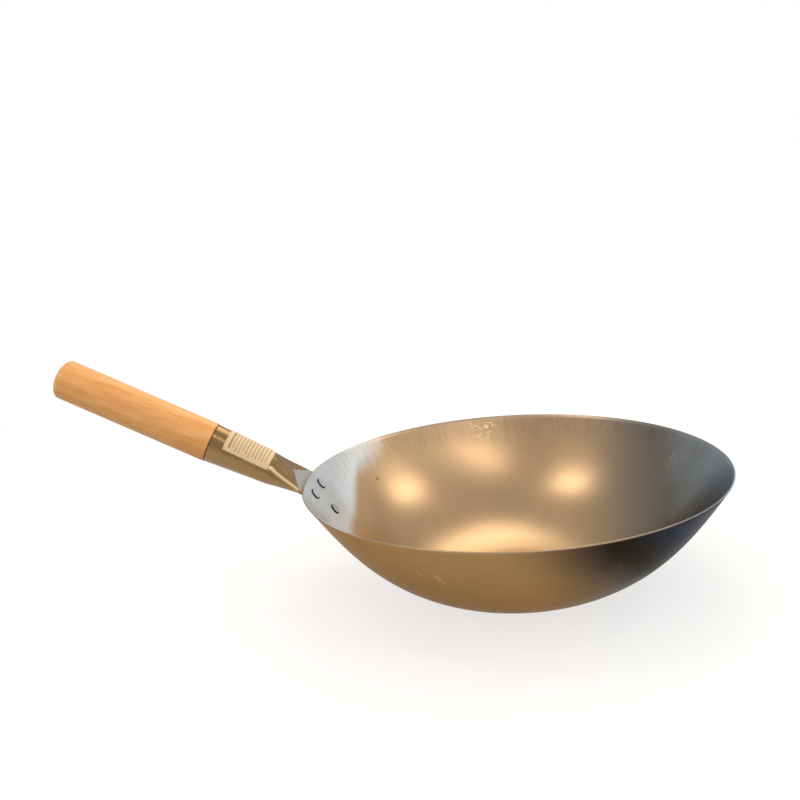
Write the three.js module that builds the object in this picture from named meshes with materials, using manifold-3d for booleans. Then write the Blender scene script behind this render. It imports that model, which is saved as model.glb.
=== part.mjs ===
// Flat-bottomed carbon steel wok with one long handle: a pressed bowl, a sheet steel socket riveted to
// its wall, and a turned wooden grip screwed into the socket.
// Millimetres, +Z up. The origin is the middle of the base, on the surface that the wok stands on.
// The handle runs out along -X, and the socket and the grip lie in the XZ plane.
import * as THREE from 'three';
import { mergeVertices } from 'three/addons/utils/BufferGeometryUtils.js';
import Module from 'manifold-3d';

const wasm = await Module();
wasm.setup();
const { clamp, degToRad, lerp, smoothstep } = THREE.MathUtils;

// Bowl
const RIM_RADIUS = 178; // to the outer edge of the rim
const RIM_HEIGHT = 95.4; // of the outer edge of the rim over the base
const BOWL_SHEET = 1.5; // sheet thickness
const BASE_RADIUS = 56; // flat underside
const KNUCKLE_RADIUS = 46; // bend between base and wall
const WALL_FOOT_SLOPE = degToRad(15.5); // wall's slope where it leaves the knuckle
const WALL_RIM_SLOPE = degToRad(55.6); // wall's slope at the rim
const WALL_FOOT_PULL = 61; // how far the wall keeps its foot slope
const WALL_RIM_PULL = 43.5; // how far the wall keeps its rim slope
const SEAT_LENGTH = 43; // flat that riveting has pressed into the wall, down from the rim
const SEAT_PRESS = 2.6; // how deep that flat is pressed in
const SEAT_BLEND = 1.6; // softness of the edge of that flat

// Handle's place
const GRIP_SLOPE = degToRad(26.9); // rise of the handle
const GRIP_AXIS_RISE = -2.7; // grip's axis over the rim edge, at the rim radius
const SOCKET_REACH = 86.9; // from the rim radius to the socket's mouth, along the grip's axis

// Socket
const SOCKET_SHEET = 1.5; // sheet thickness
const MOUTH_RADIUS = 16.7; // outside of the round mouth
const NECK_HALF_HEIGHT = 12.8; // half-height where the tube starts to be squashed
const SQUASH_LENGTH = 29; // from that neck to the flat strap
const STRAP_LENGTH = 1; // flat strap between the squashed part and the bend
const STRAP_RISE = 0.9; // strap's mid-plane over the grip's axis
const STRAP_FLARE = 1.6; // how much the strap spreads past the girth of the tube, each side
const BEND_RADIUS = 14; // bend from strap to flange
const PLATE_EDGE = 0.25; // squareness of the flattened sheet's edge: 1 is round, 0 is square
const FLANGE_TIP_MARGIN = 12; // flange beyond the lower rivet
const FLANGE_TIP_SHAPE = 2.6; // fullness of the flange's rounded end: 2 is an ellipse
const FLANGE_TIP_FLAT = 7; // width of the small flat at the flange's tip
const CAVITY_SHORT_OF_STRAP = 4; // hollow's end before the flat strap
const SEAM_WIDTH = 0.8; // open joint of the rolled sheet, along the underside
const SEAM_SHORT_OF_STRAP = 8; // seam's end before the flat strap

// Rivets
const RIVET_RADIUS = 2.5; // shank
const RIVET_SPACING = 27.2; // between the two upper rivets
const RIVET_BELOW_BEND = 4.2; // upper rivets below the bend, along the wall
const RIVET_ROW = 22.7; // lower rivet below the upper ones, along the wall
const INNER_HEAD_RADIUS = 4.9;
const INNER_HEAD_HEIGHT = 1.1;
const OUTER_HEAD_RADIUS = 4.9;
const OUTER_HEAD_HEIGHT = 2.6;

// Grip
const GRIP_RADIUS = 17.1;
const GRIP_LENGTH = 144.1; // from the socket's mouth to the end
const GRIP_DOME = 8.5; // height of the domed end
const GRIP_SHOULDER_RADIUS = 1; // rounding of the shoulder at the mouth
const TENON_SHORT_OF_NECK = 8; // tenon's end before the socket's neck

// Screw that holds the tenon
const SCREW_FROM_MOUTH = 14;
const SCREW_RADIUS = 1.75;
const SCREW_LENGTH = 13; // below its head
const SCREW_HEAD_RADIUS = 3.5;
const SCREW_HEAD_HEIGHT = 2.2;
const SCREW_SLOT_WIDTH = 1;
const SCREW_SLOT_DEPTH = 1.1;

// Paper label
const LABEL_FROM_MOUTH = 11.7;
const LABEL_LENGTH = 41.5; // along the socket
const LABEL_FROM_TOP_BACK = degToRad(45); // reach over the socket's top, to the far side
const LABEL_FROM_TOP_FRONT = degToRad(72); // reach down the near side
const LABEL_THICKNESS = 0.3;

// Fits and fineness
const FIT_GAP = 0.3; // clearance between pieces that fit or rest on each other
const BOWL_SIDES = 96;
const WALL_STEPS = 10;
const SEAT_CHECKS = 200; // points of the wall that the seat is measured on
const KNUCKLE_STEPS = 3;
const SECTION_POINTS = 36;
const ROUND_SIDES = 24;
const GRIP_SIDES = 36;
const ARC_STEPS = 6;
const LABEL_STEPS = 12;

// Directions in the handle's plane, as (outwards, up)
const alongSlope = (angle) => new THREE.Vector2(Math.cos(angle), Math.sin(angle));
const acrossSlope = (angle) => new THREE.Vector2(-Math.sin(angle), Math.cos(angle));
const inSpace = (flat, y = 0) => new THREE.Vector3(-flat.x, y, flat.y);
const along = (from, direction, length) => from.clone().addScaledVector(direction, length);

const gripAxis = alongSlope(GRIP_SLOPE);
const gripUp = acrossSlope(GRIP_SLOPE);
const wallUp = alongSlope(WALL_RIM_SLOPE);
const wallIn = acrossSlope(WALL_RIM_SLOPE);

// Outside of the bowl in that plane: a round knuckle, then the wall from the knuckle's end to the rim
const knuckleAt = (slope) => new THREE.Vector2(
  BASE_RADIUS + KNUCKLE_RADIUS * Math.sin(slope),
  KNUCKLE_RADIUS * (1 - Math.cos(slope)),
);
const rimEdge = new THREE.Vector2(RIM_RADIUS, RIM_HEIGHT);
const wallFoot = knuckleAt(WALL_FOOT_SLOPE);
const wall = new THREE.CubicBezierCurve(
  wallFoot,
  along(wallFoot, alongSlope(WALL_FOOT_SLOPE), WALL_FOOT_PULL),
  along(rimEdge, wallUp, -WALL_RIM_PULL),
  rimEdge,
);

// Depth of the seat below the wall's line at the rim, wherever the wall curves away from that line
const behindSeat = wall.getPoints(SEAT_CHECKS).filter((point) => point.distanceTo(rimEdge) <= SEAT_LENGTH);
const inFromRimLine = behindSeat.map((point) => point.clone().sub(rimEdge).dot(wallIn));
const seatDepth = Math.max(...inFromRimLine) + SEAT_PRESS;

// Where the handle meets the wall
const seatTop = along(rimEdge, wallIn, seatDepth);
const axisAtRim = new THREE.Vector2(RIM_RADIUS, RIM_HEIGHT + GRIP_AXIS_RISE);
const mouth = along(axisAtRim, gripAxis, SOCKET_REACH);
const flangeThickness = 2 * SOCKET_SHEET;
const flangeTop = along(seatTop, wallIn, -FIT_GAP - flangeThickness / 2);
const strapLine = along(axisAtRim, gripUp, STRAP_RISE);
const cornerUp = strapLine.clone().sub(flangeTop).cross(gripAxis) / wallUp.cross(gripAxis);
const corner = along(flangeTop, wallUp, cornerUp);
const bendReach = BEND_RADIUS * Math.tan((WALL_RIM_SLOPE - GRIP_SLOPE) / 2);
const bendFoot = along(corner, wallUp, -bendReach);
const bendDown = flangeTop.clone().sub(bendFoot).dot(wallUp);

// Distances from the socket's mouth, along the grip's axis
const bendFromMouth = mouth.clone().sub(corner).dot(gripAxis) - bendReach;
const strapFromMouth = bendFromMouth - STRAP_LENGTH;
const neckFromMouth = strapFromMouth - SQUASH_LENGTH;
const tenonLength = neckFromMouth - TENON_SHORT_OF_NECK;

// Distances down the wall from the rim
const upperRivetsDown = bendDown + RIVET_BELOW_BEND;
const lowerRivetDown = upperRivetsDown + RIVET_ROW;
const flangeDown = lowerRivetDown + FLANGE_TIP_MARGIN;

// Solids and cuts

function solidOf(geometry) {
  const bare = geometry.clone();
  bare.deleteAttribute('normal');
  bare.deleteAttribute('uv');
  const merged = mergeVertices(bare);
  const corners = Array.from(merged.index.array);
  const triVerts = [];
  for (let i = 0; i < corners.length; i += 3) {
    const [a, b, c] = corners.slice(i, i + 3);
    if (a !== b && b !== c && c !== a) triVerts.push(a, b, c);
  }
  return new wasm.Manifold(new wasm.Mesh({
    numProp: 3,
    vertProperties: merged.attributes.position.array,
    triVerts: new Uint32Array(triVerts),
  }));
}

function geometryOf(solid) {
  const mesh = solid.getMesh();
  const geometry = new THREE.BufferGeometry();
  geometry.setAttribute('position', new THREE.BufferAttribute(mesh.vertProperties, 3));
  geometry.setIndex(new THREE.BufferAttribute(mesh.triVerts, 1));
  geometry.computeVertexNormals();
  return geometry;
}

function cut(geometry, tools) {
  const left = tools.reduce((solid, tool) => solid.subtract(solidOf(tool)), solidOf(geometry));
  return geometryOf(left);
}

// Closed surface through rings of equally many points, with a flat cap on the first and the last ring.
// The caps are ladders of quads, so a ring may also be the outline of a bent strip.
function loft(rings) {
  const count = rings[0].length;
  const last = (rings.length - 1) * count;
  const index = [];
  for (let start = 0; start < last; start += count) {
    for (let j = 0; j < count; j++) {
      const a = start + j;
      const b = start + (j + 1) % count;
      index.push(a, b + count, b, a, a + count, b + count);
    }
  }
  for (let j = 0; j + 1 < count / 2; j++) {
    const k = count - 1 - j;
    index.push(j, j + 1, k - 1, j, k - 1, k);
    index.push(last + j, last + k - 1, last + j + 1, last + j, last + k, last + k - 1);
  }
  const geometry = new THREE.BufferGeometry().setFromPoints(rings.flat());
  geometry.setIndex(index);
  geometry.computeVertexNormals();
  return geometry;
}

// Whole steps from 0 to 1.
const steps = (count) => Array.from({ length: count + 1 }, (_, i) => i / count);

// Round piece about its own Y axis, from a profile of (radius, height) points that runs upwards.
function turned(profile, sides) {
  return new THREE.LatheGeometry(profile.map(([radius, height]) => new THREE.Vector2(radius, height)), sides);
}

function piece(name, geometry, color, roughness, metalness) {
  const mesh = new THREE.Mesh(geometry, new THREE.MeshStandardMaterial({ color, roughness, metalness }));
  mesh.name = name;
  return mesh;
}

// Bowl: base, knuckle and wall turned about Z, then pressed flat where the handle sits.

function bowlFaces() {
  const outer = [new THREE.Vector2(0, 0)];
  const inner = [new THREE.Vector2(0, BOWL_SHEET)];
  const add = (point, slope) => {
    outer.push(point);
    inner.push(along(point, acrossSlope(slope), BOWL_SHEET));
  };
  for (const step of steps(KNUCKLE_STEPS)) add(knuckleAt(step * WALL_FOOT_SLOPE), step * WALL_FOOT_SLOPE);
  for (const step of steps(WALL_STEPS).slice(1)) add(wall.getPoint(step), wall.getTangent(step).angle());
  return { outer, inner };
}

// The smaller of two numbers, rounded off over a blend where they are nearly equal.
function softMin(a, b, blend) {
  const near = Math.max(blend - Math.abs(a - b), 0) / blend;
  return Math.min(a, b) - near * near * blend / 4;
}

function wokBowl() {
  const { outer, inner } = bowlFaces();
  const profile = [...outer, ...inner.reverse()];
  const geometry = new THREE.LatheGeometry(profile, BOWL_SIDES);
  geometry.rotateX(Math.PI / 2);
  const outward = inSpace(wallIn).negate();
  const top = inSpace(rimEdge);
  const place = geometry.attributes.position;
  const point = new THREE.Vector3();
  for (let i = 0; i < place.count; i++) {
    const isInner = i % profile.length >= outer.length;
    const limit = -seatDepth - (isInner ? BOWL_SHEET : 0);
    point.fromBufferAttribute(place, i);
    const height = point.clone().sub(top).dot(outward);
    point.addScaledVector(outward, softMin(height, limit, SEAT_BLEND) - height);
    place.setXYZ(i, point.x, point.y, point.z);
  }
  return piece('wok_bowl', cut(geometry, rivetHoles()), 0xb29a74, 0.38, 1);
}

// Socket: a rolled tube, squashed flat towards the bowl and bent down on to the wall.

// The girth of the rolled sheet stays the same as it is squashed, so a lower section is a wider one.
const girthHalfWidth = (halfHeight) => halfHeight + Math.PI * (MOUTH_RADIUS - halfHeight) / 2;

function socketSection(fromMouth) {
  const tapered = clamp(fromMouth / neckFromMouth, 0, 1);
  const squashed = clamp((fromMouth - neckFromMouth) / SQUASH_LENGTH, 0, 1);
  const roundHalfHeight = lerp(MOUTH_RADIUS, NECK_HALF_HEIGHT, tapered);
  const halfHeight = lerp(roundHalfHeight, SOCKET_SHEET, squashed);
  const flattened = smoothstep(squashed, 0, 1);
  return {
    halfHeight,
    halfWidth: girthHalfWidth(halfHeight) + STRAP_FLARE * flattened,
    edge: lerp(1, PLATE_EDGE, flattened),
    rise: STRAP_RISE * flattened,
  };
}

// Point on a section's outline: angle 0 is the far side, a right angle is the top.
function outlinePoint(section, angle, offset) {
  const rise = Math.sin(angle);
  return {
    y: (section.halfWidth + offset) * Math.cos(angle),
    up: (section.halfHeight + offset) * Math.sign(rise) * Math.abs(rise) ** section.edge,
  };
}

// Point of the socket's surface, or off it, at a distance from the mouth.
function socketPoint(fromMouth, angle, offset) {
  const section = socketSection(fromMouth);
  const { y, up } = outlinePoint(section, angle, offset);
  const centre = along(mouth, gripAxis, -fromMouth);
  return inSpace(along(centre, gripUp, section.rise + up), y);
}

const sectionAngles = steps(SECTION_POINTS).slice(0, -1).map((step) => step * 2 * Math.PI);

function socketRing(fromMouth, offset) {
  return sectionAngles.map((angle) => socketPoint(fromMouth, angle, offset));
}

// Ring of flat sheet about a point of the handle's plane, for a path that climbs at a slope.
function sheetRing(centre, slope, halfWidth) {
  const section = { halfHeight: SOCKET_SHEET, halfWidth, edge: PLATE_EDGE };
  return sectionAngles.map((angle) => {
    const { y, up } = outlinePoint(section, angle, 0);
    return inSpace(along(centre, acrossSlope(slope), up), y);
  });
}

function socketBody() {
  const rings = [];
  const strapHalfWidth = girthHalfWidth(SOCKET_SHEET) + STRAP_FLARE;
  const tongue = flangeDown - bendDown;
  const tipTurn = Math.acos((FLANGE_TIP_FLAT / 2 / strapHalfWidth) ** (FLANGE_TIP_SHAPE / 2));
  for (const step of steps(ARC_STEPS * 2).slice(1).reverse()) {
    const turn = step * tipTurn;
    const down = tongue * Math.sin(turn) ** (2 / FLANGE_TIP_SHAPE);
    const halfWidth = strapHalfWidth * Math.cos(turn) ** (2 / FLANGE_TIP_SHAPE);
    rings.push(sheetRing(along(bendFoot, wallUp, -down), WALL_RIM_SLOPE, halfWidth));
  }
  for (const step of steps(ARC_STEPS)) {
    const slope = lerp(WALL_RIM_SLOPE, GRIP_SLOPE, step);
    const centre = along(bendFoot, acrossSlope(slope).sub(wallIn), BEND_RADIUS);
    rings.push(sheetRing(centre, slope, strapHalfWidth));
  }
  for (const step of steps(ARC_STEPS)) rings.push(socketRing(strapFromMouth - step * SQUASH_LENGTH, 0));
  rings.push(socketRing(neckFromMouth / 2, 0), socketRing(0, 0));
  return loft(rings);
}

// Hollow of the tube, run out past the mouth so that the tube is open there.
function socketHollow() {
  const start = strapFromMouth - CAVITY_SHORT_OF_STRAP;
  const rings = [];
  for (const step of steps(ARC_STEPS)) {
    rings.push(socketRing(lerp(start, neckFromMouth, step), -SOCKET_SHEET));
  }
  rings.push(socketRing(neckFromMouth / 2, -SOCKET_SHEET), socketRing(0, -SOCKET_SHEET));
  const past = inSpace(gripAxis).multiplyScalar(SOCKET_SHEET);
  rings.push(rings.at(-1).map((point) => point.clone().add(past)));
  return loft(rings);
}

// Saw cut for the open seam, from the middle of the tube down through its underside.
function seamCut() {
  const length = strapFromMouth - SEAM_SHORT_OF_STRAP;
  const depth = 2 * MOUTH_RADIUS;
  const slab = new THREE.BoxGeometry(SEAM_WIDTH, length + SOCKET_SHEET, depth);
  slab.translate(0, (SOCKET_SHEET - length) / 2, -depth / 2);
  return slab.applyMatrix4(gripFrame.matrix);
}

function handleSocket() {
  const screwWay = screwHole().applyMatrix4(gripFrame.matrix);
  const body = cut(socketBody(), [socketHollow(), seamCut(), screwWay, ...rivetHoles()]);
  return piece('handle_socket', body, 0xb49d76, 0.3, 1);
}

// Rivets, in a frame whose Y axis points out of the wall from the bowl's outer face.

const rivets = [
  { name: 'rivet_upper_near', y: -RIVET_SPACING / 2, down: upperRivetsDown },
  { name: 'rivet_upper_far', y: RIVET_SPACING / 2, down: upperRivetsDown },
  { name: 'rivet_lower', y: 0, down: lowerRivetDown },
];

function rivetFrame({ y, down }) {
  const frame = new THREE.Group();
  frame.position.copy(inSpace(along(seatTop, wallUp, -down), y));
  frame.quaternion.setFromUnitVectors(new THREE.Vector3(0, 1, 0), inSpace(wallIn).negate());
  frame.updateMatrix();
  return frame;
}

// Drills for the rivets, long enough for the bowl's wall and the flange together.
function rivetHoles() {
  const radius = RIVET_RADIUS + FIT_GAP;
  const length = 4 * (BOWL_SHEET + flangeThickness);
  return rivets.map((rivet) => {
    const drill = new THREE.CylinderGeometry(radius, radius, length, ROUND_SIDES);
    return drill.applyMatrix4(rivetFrame(rivet).matrix);
  });
}

function rivetGeometry() {
  const inside = -BOWL_SHEET - FIT_GAP;
  const outside = FIT_GAP + flangeThickness + FIT_GAP;
  const dome = steps(ARC_STEPS).slice(0, -1).map((step) => [
    OUTER_HEAD_RADIUS * Math.cos(step * Math.PI / 2),
    outside + OUTER_HEAD_HEIGHT * Math.sin(step * Math.PI / 2),
  ]);
  return turned([
    [0, inside - INNER_HEAD_HEIGHT],
    [INNER_HEAD_RADIUS - INNER_HEAD_HEIGHT / 2, inside - INNER_HEAD_HEIGHT],
    [INNER_HEAD_RADIUS, inside - INNER_HEAD_HEIGHT / 2],
    [INNER_HEAD_RADIUS, inside],
    [RIVET_RADIUS, inside],
    [RIVET_RADIUS, outside],
    ...dome,
    [0, outside + OUTER_HEAD_HEIGHT],
  ], ROUND_SIDES);
}

function rivetPiece(rivet) {
  const frame = rivetFrame(rivet);
  frame.add(piece(rivet.name, rivetGeometry(), 0xb7b3aa, 0.35, 1));
  return frame;
}

// Grip, in a frame at the socket's mouth: Y out along the grip, Z up, X to the far side.

const gripFrame = new THREE.Group();
gripFrame.position.copy(inSpace(mouth));
gripFrame.quaternion.setFromRotationMatrix(
  new THREE.Matrix4().makeBasis(new THREE.Vector3(0, 1, 0), inSpace(gripAxis), inSpace(gripUp)),
);
gripFrame.updateMatrix();

const tenonRadius = (fromMouth) => socketSection(fromMouth).halfHeight - SOCKET_SHEET - FIT_GAP;

function woodGrip() {
  const dome = steps(ARC_STEPS).slice(0, -1).map((step) => [
    GRIP_RADIUS * Math.cos(step * Math.PI / 2),
    GRIP_LENGTH - GRIP_DOME * (1 - Math.sin(step * Math.PI / 2)),
  ]);
  const grip = turned([
    [0, -tenonLength],
    [tenonRadius(tenonLength), -tenonLength],
    [tenonRadius(0), FIT_GAP],
    [GRIP_RADIUS - GRIP_SHOULDER_RADIUS, FIT_GAP],
    [GRIP_RADIUS, FIT_GAP + GRIP_SHOULDER_RADIUS],
    ...dome,
    [0, GRIP_LENGTH],
  ], GRIP_SIDES);
  return piece('wood_grip', cut(grip, [screwHole()]), 0xdc9a57, 0.55, 0);
}

// Screw, in a frame on the grip's axis whose Y axis points to the far side.

const screwSeat = socketSection(SCREW_FROM_MOUTH).halfWidth + FIT_GAP;
const screwFrame = new THREE.Group();
screwFrame.position.set(0, -SCREW_FROM_MOUTH, 0);
screwFrame.rotation.z = -Math.PI / 2;
screwFrame.updateMatrix();

// Hole through the socket's far side and into the tenon, in the grip's frame.
function screwHole() {
  const radius = SCREW_RADIUS + FIT_GAP;
  const depth = SCREW_LENGTH + FIT_GAP;
  const hole = new THREE.CylinderGeometry(radius, radius, depth + SOCKET_SHEET, ROUND_SIDES);
  hole.translate(0, screwSeat + (SOCKET_SHEET - depth) / 2, 0);
  return hole.applyMatrix4(screwFrame.matrix);
}

function gripScrew() {
  const crown = steps(ARC_STEPS).slice(0, -1).map((step) => [
    SCREW_HEAD_RADIUS * Math.cos(step * Math.PI / 2),
    screwSeat + SCREW_HEAD_HEIGHT * Math.sin(step * Math.PI / 2),
  ]);
  const screw = turned([
    [0, screwSeat - SCREW_LENGTH],
    [SCREW_RADIUS, screwSeat - SCREW_LENGTH + 2 * SCREW_RADIUS],
    [SCREW_RADIUS, screwSeat],
    ...crown,
    [0, screwSeat + SCREW_HEAD_HEIGHT],
  ], ROUND_SIDES);
  const slot = new THREE.BoxGeometry(3 * SCREW_HEAD_RADIUS, 2 * SCREW_SLOT_DEPTH, SCREW_SLOT_WIDTH);
  slot.translate(0, screwSeat + SCREW_HEAD_HEIGHT, 0);
  screwFrame.add(piece('grip_screw', cut(screw, [slot]), 0xa8a7a3, 0.35, 1));
  return screwFrame;
}

// Paper label, wrapped over the socket's top and near side.

function paperLabel() {
  const from = Math.PI / 2 - LABEL_FROM_TOP_BACK;
  const to = Math.PI / 2 + LABEL_FROM_TOP_FRONT;
  const angles = steps(LABEL_STEPS).map((step) => lerp(from, to, step));
  const rings = steps(LABEL_STEPS).map((step) => {
    const fromMouth = LABEL_FROM_MOUTH + LABEL_LENGTH * (1 - step);
    const outside = angles.map((angle) => socketPoint(fromMouth, angle, FIT_GAP + LABEL_THICKNESS));
    const inside = angles.map((angle) => socketPoint(fromMouth, angle, FIT_GAP));
    return [...outside, ...inside.reverse()];
  });
  return piece('paper_label', loft(rings), 0xf4d8b0, 0.8, 0);
}

const wok = new THREE.Group();
gripFrame.add(woodGrip(), gripScrew());
wok.add(wokBowl(), handleSocket(), ...rivets.map(rivetPiece), gripFrame, paperLabel());

export default wok;
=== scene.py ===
"""Flat-bottomed carbon steel wok with a riveted handle: a socket of rolled sheet and a turned wooden grip.

Each piece has an operator of its own, and the sizes and colours that a user would change are properties of
the scene. Metres, in the frame of the solid model: +Z is up, the origin is the middle of the base, and the
handle runs out along -X.
"""

import math
from functools import partial

import bmesh
import bpy
from mathutils import Matrix, Vector


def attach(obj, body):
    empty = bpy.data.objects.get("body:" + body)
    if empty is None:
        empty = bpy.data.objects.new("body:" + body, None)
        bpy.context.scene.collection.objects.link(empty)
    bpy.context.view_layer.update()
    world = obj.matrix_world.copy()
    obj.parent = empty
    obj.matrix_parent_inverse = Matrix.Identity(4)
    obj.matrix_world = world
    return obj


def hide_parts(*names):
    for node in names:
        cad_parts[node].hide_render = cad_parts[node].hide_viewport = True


bl_info = {
    "name": "Riveted Wok",
    "version": (1, 0, 0),
    "blender": (4, 5, 0),
    "location": "View3D > Sidebar > Wok",
    "description": "Models a carbon steel wok with a socketed wooden handle",
    "category": "Add Mesh",
}

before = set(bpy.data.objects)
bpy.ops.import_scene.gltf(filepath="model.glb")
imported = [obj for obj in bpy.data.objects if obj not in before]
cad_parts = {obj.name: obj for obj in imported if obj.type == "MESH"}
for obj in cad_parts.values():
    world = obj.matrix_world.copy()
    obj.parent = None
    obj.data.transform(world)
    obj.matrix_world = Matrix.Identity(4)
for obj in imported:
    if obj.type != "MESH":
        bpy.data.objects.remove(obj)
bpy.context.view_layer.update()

# How finely the pieces are drawn
BOWL_SIDES = 240
WALL_STEPS = 36
KNUCKLE_STEPS = 6
SOCKET_SIDES = 65  # an odd number leaves a strip along the underside for the seam
TURNED_SIDES = 72
ARC_STEPS = 10
LABEL_SIDES = 120
BASE_RINGS = (0.1, 0.35, 0.6, 0.85)  # rings on the flat base, as shares of its radius
NECK_RINGS = (0.02, 0.25, 0.5, 0.75, 1.0)  # rings between the socket's mouth and its neck
GRIP_RINGS = 5  # steps along the straight part of the grip
MERGE_GAP = 1e-6  # points closer than this are one
MIDDLE_GAP = 1e-5  # faces closer than this to the handle's middle plane lie on it
FACES_DOWN = -0.5  # highest Y of the normal of a face on the underside
SMOOTH_ANGLE = math.radians(35)  # edges sharper than this stay sharp
GRIP_SMOOTH_ANGLE = math.radians(50)  # the same for the grip
RIM_EDGE_ANGLE = math.radians(50)  # edges sharper than this are rounded

# Shapes that are shares of other sizes
SEAT_EASING = (7 / 8, 5 / 8, 3 / 8, 1 / 8, 0)  # steps in which the edge of the pressed seat is eased off
FLAT_GROWTH = 0.6  # how the flat top of the squashed part widens: 1 is evenly, less is early
FLAT_ENDS = 0.97  # share of the width that it grows to
TIP_SHAPE = 2.6  # fullness of the flange's rounded end: 2 is an ellipse
SEAM_DEPTH = 0.8  # depth of the seam, in sheets
HEAD_EDGE = 0.35  # upright edge of a flat rivet head, in head heights
HEAD_ROUND = 1.2  # rounding of that head, in head heights
PAINTED_SHADE_REACH = 0.8  # painted shade round that head, in head heights
TENON_START = 1 / 3  # disc that the tenon's end starts from, in tenon radii
SCREW_POINT = 0.1  # blunt end of the screw, in shank radii
SCREW_TAPER = 2.0  # length of its taper, in shank radii

# Pale facet on the socket's top, painted as a reflection of the bright room, as shares of the squashed
# part's length, and the painted highlight along the shoulders beside it
FACET_SPAN = (0.5, 1.0)
SHOULDER_STARTS = 0.87  # as a share of the half width
RIDGE_PAINTED_HIGHLIGHT = "#f2e0b4"

# Marks of wear: kind, place, radius, and shade against the steel around
SCUFF_LEAN = (0.645, 0.33, -0.69)
MARK_CORE = 0.3  # share of the radius in which a mark is full
INNER_MARKS = (
    ("scratches", (-0.0351, 0.1683, 0.0888), 0.016, 2.2),
    ("smudge", (0.1366, 0.0859, 0.0734), 0.012, 1.35),
    ("dot", (-0.1299, 0.0863, 0.0656), 0.002, 0.15),
)
OUTER_MARKS = (
    ("scuffs", (-0.067, -0.146, 0.069), 0.034, 1.35),
    ("smudge", (0.0827, -0.135, 0.0664), 0.014, 2.4),
    ("smudge", (0.1257, -0.1152, 0.0843), 0.02, 1.8),
)

# How the straw tint drifts towards rose in places, and the levels of cloud between which it does
ROSE_SHIFT = (1.02, 0.94, 0.97)
CLOUDS = (0.35, 0.65)

# How much of the straw tint shows where the steel is seen at a low angle
EDGE_TINT = 0.6

# How far the grip's grain leans from its axis
GRAIN_LEAN = math.radians(5)

# How the steel's finish changes from place to place
OUTER_FINISH = {
    "tint": (0.055, 0.145),  # where the tint starts and is full, along X: partly heat tint, partly painted dark reflection
    "blue_tint_and_reflection": (0.15, 0.19),  # where it turns blue
    "tint_rise": 0.6,  # how much sooner it starts higher up the wall
    "oxide": 1.0,  # how far it hides the metal
    "bare": (-0.5, -0.6),  # where the steel is bare towards the handle, paler as painted reflection, along X: past the bowl is nowhere
    "rubbed": 0.0,  # strength of the upright rub marks below the rim
    "marks": OUTER_MARKS,
}
INNER_FINISH = {
    "tint": (0.05, 0.155),
    "blue_tint_and_reflection": (0.14, 0.19),
    "tint_rise": 0.0,
    "oxide": 0.0,
    "bare": (-0.1344, -0.1434),
    "rubbed": 1.0,
    "marks": INNER_MARKS,
}
BARE_LEAN = 0.07  # how the edge of the bare steel with its painted reflection leans, across Y


def linear(code):
    """Linear colour of an sRGB hex code, opaque."""
    parts = [int(code[i : i + 2], 16) / 255 for i in (1, 3, 5)]
    curve = [p / 12.92 if p <= 0.04045 else ((p + 0.055) / 1.055) ** 2.4 for p in parts]
    return (*curve, 1.0)


def distance(name, description, default):
    """Property for a length."""
    return bpy.props.FloatProperty(
        name=name, description=description, default=default, subtype="DISTANCE", unit="LENGTH", precision=5
    )


def slope(name, description, default):
    """Property for an angle, from its default in degrees."""
    return bpy.props.FloatProperty(
        name=name, description=description, default=math.radians(default), subtype="ANGLE", unit="ROTATION"
    )


def colour(name, description, code):
    """Property for a colour, from its sRGB hex code."""
    return bpy.props.FloatVectorProperty(
        name=name, description=description, default=linear(code), size=4, min=0, max=1, subtype="COLOR"
    )


class WokBowlSizes(bpy.types.PropertyGroup):
    """Sizes of the pressed bowl."""

    rim_radius: distance("Rim Radius", "To the outer edge of the rim", 0.178)
    rim_height: distance("Rim Height", "Outer edge of the rim over the base", 0.0954)
    sheet: distance("Sheet", "Thickness of the bowl's sheet", 0.0015)
    base_radius: distance("Base Radius", "Flat underside", 0.056)
    knuckle_radius: distance("Knuckle Radius", "Bend between base and wall", 0.046)
    foot_slope: slope("Foot Slope", "Slope of the wall where it leaves the knuckle", 15.5)
    rim_slope: slope("Rim Slope", "Slope of the wall at the rim", 55.6)
    foot_pull: distance("Foot Pull", "How far the wall keeps its foot slope", 0.061)
    rim_pull: distance("Rim Pull", "How far the wall keeps its rim slope", 0.0435)
    seat_press: distance("Seat Press", "How deep the riveting has pressed the wall flat", 0.0026)
    seat_blend: distance("Seat Blend", "Softness of the edge of that flat", 0.0016)
    edge_round: distance("Edge Rounding", "Rounding of the rim's two edges", 0.0004)


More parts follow.
